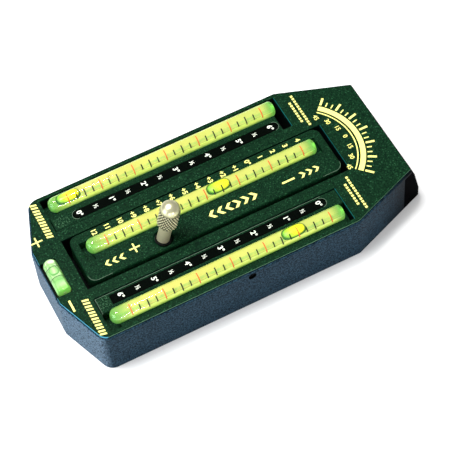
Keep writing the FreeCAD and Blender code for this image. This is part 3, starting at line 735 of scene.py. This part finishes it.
def add_plus(build, x, y, bottom, length, width):
    """Plus sign."""
    half, thin = length / 2, width / 2
    add_bar(build, x - half, x + half, y - thin, y + thin, bottom)
    add_bar(build, x - thin, x + thin, y - half, y - thin, bottom)
    add_bar(build, x - thin, x + thin, y + thin, y + half, bottom)


def add_chevron(build, x, y, heading, size, bottom):
    """Arrow head that points along X; its size is (height, half length)."""
    height, reach = size
    tip = heading * reach
    notch = tip * 0.1
    half = height / 2
    points = [(x - tip, y - half), (x - notch, y - half), (x + tip, y), (x - notch, y + half),
              (x - tip, y + half), (x + notch, y)]
    add_prism(build, points, bottom)


def face_signs(ink):
    """Plus and minus by the cross level."""
    build = bmesh.new()
    add_plus(build, x=-85.1, y=20.2, bottom=face_z, length=5.8, width=0.75)
    add_bar(build, x0=-85.4, x1=-84.4, y0=-23.2, y1=-16.6, bottom=face_z)
    add_piece("face_signs", build, ink, "housing")


def carrier_signs(ink):
    """Plus, minus and direction arrows on the carrier."""
    build = bmesh.new()
    add_plus(build, x=-46.1, y=-6.1, bottom=carrier_z, length=5.4, width=0.75)
    add_bar(build, x0=31.3, x1=37.9, y0=-8.2, y1=-7.2, bottom=carrier_z)
    row_y, pitch, size = -7.8, 3.7, (3.4, 1.5)
    for middle, heading in ((-57.0, -1.0), (46.0, 1.0)):
        for index in (-1, 0, 1):
            add_chevron(build, middle + index * pitch, row_y, heading, size, carrier_z)
    middle, row_y, pitch, size = 5.2, -7.2, 4.4, (4.4, 1.9)
    for place in (-2.5, -1.5, -0.5, 0.5, 1.5, 2.5):
        add_chevron(build, middle + place * pitch, row_y, math.copysign(1.0, place), size, carrier_z)
    add_piece("carrier_signs", build, ink, "carrier")


def slanted_rows(ink):
    """Rows of slanted double bars by the camber vials' left ends, and dashed rows at their right."""
    build = bmesh.new()
    left, right = -79.9, -76.7
    bar_width, drop = 1.0, 0.7
    pair_pitch, bar_pitch = 3.7, 1.75
    for start in (41.2, -19.3):
        for index in range(6):
            for shift in (0.0, bar_pitch):
                edge = start - index * pair_pitch - shift
                points = [(left, edge), (left, edge - bar_width), (right, edge - (bar_width + drop)),
                          (right, edge - drop)]
                add_prism(build, points, face_z)
    dash_half, dash_length, dash_pitch = 0.6, 1.15, 1.75
    for start in (37.8, -18.2):
        for x, count, late in ((60.1, 12, 0.0), (57.5, 8, 3.5)):
            for index in range(count):
                top = start - index * dash_pitch - late
                add_bar(build, x - dash_half, x + dash_half, top - dash_length, top, face_z)
    add_piece("slanted_rows", build, ink, "housing")


def angle_fan(ink):
    """Generic degree fan on the hub end: arcs, ticks and plain numbers."""
    build = bmesh.new()
    middle = Vector((47.5, 3.0))
    reach = 46.0
    for inner, outer in ((28.4, 31.0), (26.8, 27.4)):
        add_sector(build, middle, inner, outer, -reach, reach, face_z)
    step_deg, side_ticks, numbered = 5, 9, 3
    number_radius, tick_foot = 23.9, 31.8
    for index in range(-side_ticks, side_ticks + 1):
        long_tick = index % numbered == 0
        half, tick_tip = (0.55, 36.2) if long_tick else (0.3, 34.2)
        angle = math.radians(index * step_deg)
        direction = Vector((math.cos(angle), math.sin(angle)))
        side = Vector((-direction.y, direction.x)) * half
        base = middle + direction * tick_foot
        tip = middle + direction * tick_tip
        corners = (base - side, tip - side, tip + side, base + side)
        add_prism(build, [tuple(corner) for corner in corners], face_z)
        if long_tick:
            spot = middle + direction * number_radius
            add_text(build, str(abs(index) * step_deg), spot.x, spot.y, face_z, fan_type)
    add_piece("angle_fan", build, ink, "housing")


def strip_edge_highlights(line):
    """Painted highlights: thin pale lines round the strips' ends and along the minus holder's back and left
    edges.
    """
    build = bmesh.new()
    for name in ("camber_plus", "camber_minus"):
        low, high = span(name + "_scale")
        half = (high.y - low.y) / 2
        ends = [(high.x - half, -90.0)]
        if name == "camber_plus":
            ends.append((low.x + half, 90.0))
        for x, start in ends:
            add_sector(build, (x, low.y + half), half + 0.01, half + 0.15, start, start + 180.0,
                       strip_z - highlight_line_thickness, highlight_line_thickness)
    low, high = span("camber_minus_holder")
    near, far = 0.05, 0.2
    corner_gap, hub_gap, end_length = 0.1, 8.0, 9.0
    add_bar(build, low.x + corner_gap, high.x - hub_gap, high.y - far, high.y - near, high.z)
    add_bar(build, low.x + near, low.x + far, high.y - end_length, high.y - near, high.z)
    add_piece("strip_edge_highlights", build, line, "housing")


def carrier_edge_highlights(line):
    """Painted highlights round the carrier's two front corners."""
    build = bmesh.new()
    low, high = span("caster_carrier")
    corner, inset = 4.0, 0.08
    reach, width = 7.0, 0.14
    outer = corner - inset
    y = low.y + inset
    for x, start in ((low.x + corner, 180.0), (high.x - corner, 270.0)):
        add_sector(build, (x, low.y + corner), outer - width, outer, start, start + 90.0, carrier_z)
    for x in (low.x + corner, high.x - corner - reach):
        add_bar(build, x, x + reach, y, y + width, carrier_z)
    add_piece("carrier_edge_highlights", build, line, "carrier")


def painted_holder_highlights(highlight_coat):
    """Paler speckled patches at the holders' left ends, painted highlights where they catch the light."""
    build = bmesh.new()
    inset, half_width = 0.7, 3.0
    for name, length in (("camber_plus", 7.6), ("camber_minus", 5.4)):
        low, high = span(name + "_holder")
        y = centre(name + "_scale").y
        add_bar(build, low.x + inset, low.x + inset + length, y - half_width, y + half_width, high.z)
    add_piece("painted_holder_highlights", build, highlight_coat, "housing")


def vial_marks(name, body, red, black):
    """Thin red degree lines and black quarter lines on a long vial."""
    place = vial_place(name, "x")
    radius = vial_size(name, long_vial).z / 2
    reds, blacks = bmesh.new(), bmesh.new()
    for index in range(red_count):
        distance = first_red + red_pitch * index
        add_ring_mark(reds, distance, red_width, red_arc, radius, place)
        if index < red_count - 1:
            for share, start, end in quarter_marks:
                add_ring_mark(blacks, distance + red_pitch * share, mark_width, (start, end), radius, place)
    add_piece(name + "_red_marks", reds, red, body)
    add_piece(name + "_black_marks", blacks, black, body)


def cross_marks(ink):
    """Two thin lines round the cross level."""
    place = vial_place("cross", "y")
    radius = vial_size("cross", short_vial).y / 2
    build = bmesh.new()
    for distance in cross_rings:
        add_ring_mark(build, distance, cross_ring_width, cross_ring_arc, radius, place)
    add_piece("cross_marks", build, ink, "housing")


# Vials

def bore_profile(kind, length, gap=0.0):
    """Profile of the bore from its rounded left end to its flat right end, drawn in by a gap."""
    start, end = kind["dome_wall"], length - kind["end_wall"]
    rounded = quarter_turn(start, kind["bore"], kind["bore_round"], 8, True)
    points = [(start + gap, 0.0)] + [(distance + gap, size - gap) for distance, size in rounded]
    return points + [(end - gap, kind["bore"] - gap)]


def vial_shell(name, body, kind, bore_wall):
    """Acrylic shell with its bore, whose wall has a finish of its own."""
    size = vial_size(name, kind)
    radius = size.z / 2
    outside = [(0.0, 0.0)] + quarter_turn(0.0, radius, kind["dome"], 16, True)
    outside += quarter_turn(size.x, radius, kind["corner"], 10, False)
    bore = bore_profile(kind, size.x)[::-1]
    inside = [(size.x, kind["plug"]), (bore[0][0], kind["plug"])] + bore
    build = bmesh.new()
    add_lathe(build, outside + inside, vial_sides, vial_place(name, kind["along"]))
    build.faces.ensure_lookup_table()
    for face in build.faces[-vial_sides * (len(inside) - 2):]:
        face.material_index = 1
    piece = add_piece(name + "_shell", build, shell_material(name, kind["along"]), body, 40)
    piece.data.materials.append(bore_wall)
    piece.visible_shadow = False
    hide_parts(name + "_vial")


def vial_spirit(name, body, kind, look):
    """Spirit that fills the bore up to the bubble's underside."""
    waterline = span(name + "_bubble")[0].z - centre(name + "_vial").z
    profile = bore_profile(kind, vial_size(name, kind).x, liquid_film)
    profile.append((profile[-1][0], 0.0))
    build = bmesh.new()
    add_lathe(build, profile, vial_sides, vial_place(name, kind["along"]), ceiling=waterline - liquid_film)
    piece = add_piece(name + "_spirit", build, liquid_material(name, kind, look), body, 40)
    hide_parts(name + "_liquid")


def bubble_lens(name, kind, material):
    """Bubble with a crown that follows the bore and an egg-shaped rim at the waterline."""
    along = kind["along"]
    low, high = span(name + "_bubble")
    axis_z = centre(name + "_vial").z
    middle = (low + high) / 2
    half = (high - low) / 2
    crown = high.z - axis_z
    waterline = low.z - axis_z
    across_half = half.y if along == "x" else half.x
    around, rings = 48, 10
    squareness, fullness = 0.77, 5
    build = bmesh.new()
    rows = [[build.verts.new((middle.x, middle.y, high.z))]]
    for ring in range(1, rings + 1):
        share = ring / rings
        row = []
        for index in range(around):
            angle = 2 * math.pi * index / around
            cosine, sine = math.cos(angle), math.sin(angle)
            lengthwise = share * math.copysign(abs(cosine) ** squareness, cosine)
            across = share * math.copysign(abs(sine) ** squareness, sine)
            roof = math.sqrt(max(crown ** 2 - (across * across_half) ** 2, 0.0))
            up = waterline + (max(roof, waterline) - waterline) * math.sqrt(max(0.0, 1 - share ** fullness))
            x, y = (lengthwise, across) if along == "x" else (across, lengthwise)
            row.append(build.verts.new((middle.x + x * half.x, middle.y + y * half.y, axis_z + up)))
        rows.append(row)
    stitch(build, rows)
    build.faces.new(rows[-1])
    bmesh.ops.recalc_face_normals(build, faces=build.faces[:])
    piece = add_piece(name + "_bubble_lens", build, material, name + "_bubble_body", 50)
    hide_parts(name + "_bubble")


# Knurled thumb screw and its spring

def screw_line():
    """A point and the direction of the thumb screw's axis."""
    joint = next(joint for joint in frame["joints"] if joint["name"] == "adjuster_turn")
    return Vector(joint["pos_m"]) / MM, Vector(joint["axis"]).normalized()


def screw_frame():
    """The axis's point and direction, and two directions square to it."""
    start, axis = screw_line()
    side = axis.cross(UP).normalized()
    return start, axis, side, axis.cross(side)


def grip_profile():
    """Profile of the grip before its knurl, with eased ends."""
    steps = 70
    bevel, lead_in, lead_out = 0.5, 0.5, 0.3
    profile = []
    for step in range(steps + 1):
        distance = grip_base + grip_length * step / steps
        ease = min(1.0, (distance - grip_base) / lead_in, (grip_top - distance) / lead_out)
        profile.append((distance, grip_r - bevel * (1.0 - max(ease, 0.0))))
    return profile


def thumb_screw(grip_finish, collar_finish):
    """Thumb screw turned in one piece, with a diamond knurl cut into its grip."""
    start, axis, side, other = screw_frame()
    tip = (span("adjuster_screw")[0].z - start.z) / axis.z + 0.6
    bevel, collar_bevel = 0.5, 0.3
    profile = [(tip, 0.0), (tip, thread_r - bevel), (tip + bevel, thread_r), (collar_base - 0.01, thread_r),
               (collar_base, collar_r - collar_bevel), (collar_base + collar_bevel, collar_r),
               (cone_base - 0.2, collar_r), (cone_base, collar_r + 0.05)]
    knurl_from = len(profile)
    profile += grip_profile()
    knurl_to = len(profile)
    profile += quarter_turn(dome_base + dome_r, dome_r, dome_r, 20, False)[:-1]
    profile.append((dome_base + dome_r, 0.0))
    depth, sharpness, fade_rows = 0.6, 0.85, 3
    ridges, slope_deg = 20, 52.0
    twist = ridges / grip_r / 2 / math.tan(math.radians(slope_deg))

    def knurl(level, angle, distance, radius):
        if not knurl_from <= level < knurl_to:
            return radius
        left = abs(math.sin(ridges * angle / 2 + twist * distance))
        right = abs(math.sin(ridges * angle / 2 - twist * distance))
        fade = min(1.0, (knurl_to - 1 - level) / fade_rows)
        return radius - depth * fade * (1.0 - min(left, right) ** sharpness)

    def place(distance, across, up):
        return start + axis * distance + side * across + other * up

    around = 260
    build = bmesh.new()
    add_lathe(build, profile, around, place, knurl)
    build.faces.ensure_lookup_table()
    for face in build.faces[:around * (knurl_from - 2)]:
        face.material_index = 1
    screw = add_piece("knurled_thumb_screw", build, grip_finish, "thumb_screw", 60)
    screw.data.materials.append(collar_finish)
    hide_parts("adjuster_screw")


def spring(material):
    """Wound spring round the thumb screw."""
    start, axis, side, other = screw_frame()
    low, high = span("carrier_spring")
    outer_r, wire_r, travel = 4.2, 0.38, 2.7
    turns, steps, around = 5, 32, 10
    rise = outer_r * math.hypot(axis.x, axis.y)
    foot = (low.z + rise - start.z) / axis.z + wire_r
    head = (high.z - rise - start.z) / axis.z - wire_r
    count = turns * steps
    build = bmesh.new()
    rings = []
    for step in range(count + 1):
        angle = 2 * math.pi * step / steps
        out = side * math.cos(angle) + other * math.sin(angle)
        middle = start + axis * (foot + (head - foot) * step / count) + out * (outer_r - wire_r)
        ring = []
        for index in range(around):
            turn = 2 * math.pi * index / around
            ring.append(build.verts.new(middle + (out * math.cos(turn) + axis * math.sin(turn)) * wire_r))
        rings.append(ring)
    stitch(build, rings)
    build.faces.new(rings[0])
    build.faces.new(rings[-1])
    bmesh.ops.recalc_face_normals(build, faces=build.faces[:])
    piece = add_piece("wound_spring", build, material, "housing", 60)
    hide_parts("carrier_spring")
    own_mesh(piece)


# Dressing of the CAD nodes

def dress_nodes():
    """Gives every CAD node that stays in view its material."""
    plug = plain("plug_green", linear(132, 176, 96), 0.3)
    steel = brushed_metal("screw_steel", linear(150, 150, 152), 0.35)
    black_steel = plain("black_steel", linear(14, 17, 18), 0.45, 0.6)
    holder = speckled("holder_green")
    strip = plain("strip_black", linear(1, 4, 2), 0.7, specular=0.02)
    nodes = {
        "face_plate": plate_material(),
        "housing": flank_material(),
        "hub_block": plain("end_black", linear(1, 1, 2), 0.8, specular=0.01),
        "bottom_cover": plain("cover_black", linear(30, 32, 36), 0.5),
        "camber_plus_holder": holder,
        "camber_minus_holder": holder,
        "camber_plus_scale": strip,
        "camber_minus_scale": strip,
        "caster_carrier": speckled("carrier_green"),
        "side_set_screws": black_steel,
        "adjuster_washer": black_steel,
        "adjuster_insert": brushed_metal("bush_brass", linear(200, 165, 90), 0.3),
    }
    for name in ("bottom_cover_screws", "holder_screws", "caster_pivot_pin", "hub_insert",
                 "hub_block_screws"):
        nodes[name] = steel
    for name in ("camber_plus", "camber_minus", "caster", "cross"):
        nodes[name + "_vial_plug"] = plug
    for node, material in nodes.items():
        for slot in frame["nodes"][node].material_slots:
            slot.link = "OBJECT"
            slot.material = material


# Stage

def floor():
    """White floor that keeps the soft shadow; to the eye it is dimmer near the gauge, which paints a grey
    shade round it, and whitens far from it.
    """
    mesh = bpy.data.meshes.new("floor")
    half, level = 4.0, -0.0003
    corners = [(-half, -half, level), (half, -half, level), (half, half, level), (-half, half, level)]
    mesh.from_pydata(corners, [], [(0, 1, 2, 3)])
    ground = bpy.data.objects.new("floor", mesh)
    bpy.context.scene.collection.objects.link(ground)
    shader = Shader("floor_white")
    path = shader.nodes.new("ShaderNodeLightPath")
    x, y = shader.axes(shader.place)[:2]
    from_middle = shader.math("SQRT", shader.math("ADD", shader.times(x, x), shader.times(y, y)))
    # painted shade: the floor is less bright near the gauge, adding grey round it on top of the real shadow
    painted_shade_near_glow, far_glow = 0.12, 1.0
    far = shader.rise(from_middle, 0.25, 1.0)
    whiteness = shader.math("MULTIPLY_ADD", far, far_glow - painted_shade_near_glow, painted_shade_near_glow)
    shader.feed("Emission Strength", shader.times(path.outputs["Is Camera Ray"], whiteness))
    shader.set(Base_Color=(0.84, 0.84, 0.84, 1.0), Roughness=0.9, Emission_Color=(1.0, 1.0, 1.0, 1.0))
    mesh.materials.append(shader.material)


def area_light(name, place, size, power, colour=(1.0, 1.0, 1.0)):
    """Soft round lamp aimed at the gauge, in metres and watts."""
    lamp = bpy.data.lights.new(name, "AREA")
    lamp.shape = "DISK"
    lamp.size = size
    lamp.energy = power
    lamp.color = colour
    holder = bpy.data.objects.new(name, lamp)
    holder.location = place
    holder.rotation_euler = (-Vector(place)).to_track_quat("-Z", "Y").to_euler()
    bpy.context.scene.collection.objects.link(holder)


def lamps():
    """Key from the back left, cool fill from the left, a small top lamp and two small lamps in front."""
    area_light("key", (-0.32, 0.2, 1.1), 0.6, 18.0)
    area_light("left_fill", (-0.9, -0.05, 0.3), 0.7, 4.5, (0.84, 0.92, 1.0))
    area_light("top", (0.06, 0.18, 0.95), 0.07, 2.0)
    area_light("front_left", (-0.5, -0.75, 0.2), 0.06, 1.6)
    area_light("front_right", (0.02, -0.88, 0.2), 0.06, 1.6)


def studio_world():
    """White to the camera; to all else a grey that grows paler with height."""
    low_grey, high_grey = (0.3, 0.3, 0.3, 1.0), (0.5, 0.5, 0.5, 1.0)
    world = bpy.data.worlds.new("studio")
    bpy.context.scene.world = world
    world.use_nodes = True
    nodes, links = world.node_tree.nodes, world.node_tree.links
    place = nodes.new("ShaderNodeTexCoord")
    split = nodes.new("ShaderNodeSeparateXYZ")
    ramp = nodes.new("ShaderNodeValToRGB")
    path = nodes.new("ShaderNodeLightPath")
    mix = nodes.new("ShaderNodeMix")
    mix.data_type = "RGBA"
    mix.inputs[7].default_value = (1.0, 1.0, 1.0, 1.0)
    for element, position, colour in zip(ramp.color_ramp.elements, (0.1, 0.8), (low_grey, high_grey)):
        element.position = position
        element.color = colour
    links.new(place.outputs["Generated"], split.inputs["Vector"])
    links.new(split.outputs["Z"], ramp.inputs["Fac"])
    links.new(path.outputs["Is Camera Ray"], mix.inputs[0])
    links.new(ramp.outputs["Color"], mix.inputs[6])
    links.new(mix.outputs[2], nodes["Background"].inputs["Color"])


def camera():
    """Camera at the photograph's view: high on the front left, rolled a little."""
    azimuth, elevation, roll = (math.radians(angle) for angle in (view_azimuth, view_elevation, view_roll))
    back = Vector((math.sin(azimuth) * math.cos(elevation), -math.cos(azimuth) * math.cos(elevation),
                   math.sin(elevation)))
    right = (-back).cross(UP).normalized()
    up = right.cross(-back)
    rolled_right = right * math.cos(roll) + up * math.sin(roll)
    rolled_up = -right * math.sin(roll) + up * math.cos(roll)
    lens = bpy.data.cameras.new("photo_view")
    lens.sensor_width = 36.0
    lens.lens = view_lens
    lens.clip_start = 0.01
    holder = bpy.data.objects.new("photo_view", lens)
    turn = Matrix((rolled_right, rolled_up, back)).transposed().to_4x4()
    holder.matrix_world = Matrix.Translation(view_place) @ turn
    bpy.context.scene.collection.objects.link(holder)
    bpy.context.scene.camera = holder


# Everything, in order

def print_marks():
    """Numbers, signs, rows, fan, and painted highlights: pale lines and paler patches."""
    yellow = plain("ink_yellow", linear(244, 240, 132), 0.5, variation=0.05)
    white = plain("ink_white", linear(232, 238, 224), 0.5, variation=0.05)
    # painted highlights along edges are drawn in this pale colour
    line = plain("painted_highlight_pale", linear(96, 124, 100), 0.5)
    caster_numbers(yellow)
    camber_numbers("camber_plus", plus_first, plus_pitch, range(red_count), white)
    camber_numbers("camber_minus", minus_first, minus_pitch, range(red_count - 1, -1, -1), white)
    face_signs(yellow)
    carrier_signs(yellow)
    slanted_rows(yellow)
    angle_fan(yellow)
    strip_edge_highlights(line)
    carrier_edge_highlights(line)
    # painted highlights: paler speckled patches on the holders
    painted_holder_highlights(speckled("painted_holder_highlight", linear(58, 96, 66), 0.54))


def fill_vials():
    """The three long vials and the cross level, with their marks."""
    bore_wall = bore_material()
    red = plain("mark_red", linear(208, 84, 26), 0.4, variation=0.1)
    black = plain("mark_black", linear(8, 30, 10), 0.4, variation=0.1)
    bubble = bubble_material("bubble_yellow", linear(128, 180, 52), linear(186, 204, 36),
                             linear(226, 212, 20), linear(22, 84, 24))
    pale_bubble = bubble_material("bubble_pale", linear(112, 158, 92), linear(160, 196, 136),
                                  linear(140, 184, 118), linear(84, 140, 76))
    vials = (("camber_plus", "housing", long_vial, yellow_spirit, bubble),
             ("camber_minus", "housing", long_vial, yellow_spirit, bubble),
             ("caster", "carrier", long_vial, yellow_spirit, bubble),
             ("cross", "housing", short_vial, pale_spirit, pale_bubble))
    for name, body, kind, look, bubble_finish in vials:
        vial_shell(name, body, kind, bore_wall)
        vial_spirit(name, body, kind, look)
        bubble_lens(name, kind, bubble_finish)
        if kind is long_vial:
            vial_marks(name, body, red, black)
    cross_marks(black)


def build_all():
    """The dressed gauge on its stage."""
    bpy.context.scene.view_settings.view_transform = "Standard"
    dress_nodes()
    print_marks()
    fill_vials()
    # the grip's second colour is painted shade for its grooves
    thumb_screw(knurled_metal("screw_nickel", linear(204, 200, 164), linear(44, 42, 24), 0.34),
                brushed_metal("collar_nickel", linear(214, 208, 172), 0.38, 0.9, 0.5))
    spring(brushed_metal("spring_steel", linear(160, 160, 162), 0.3))
    floor()
    lamps()
    studio_world()
    camera()


build_all()
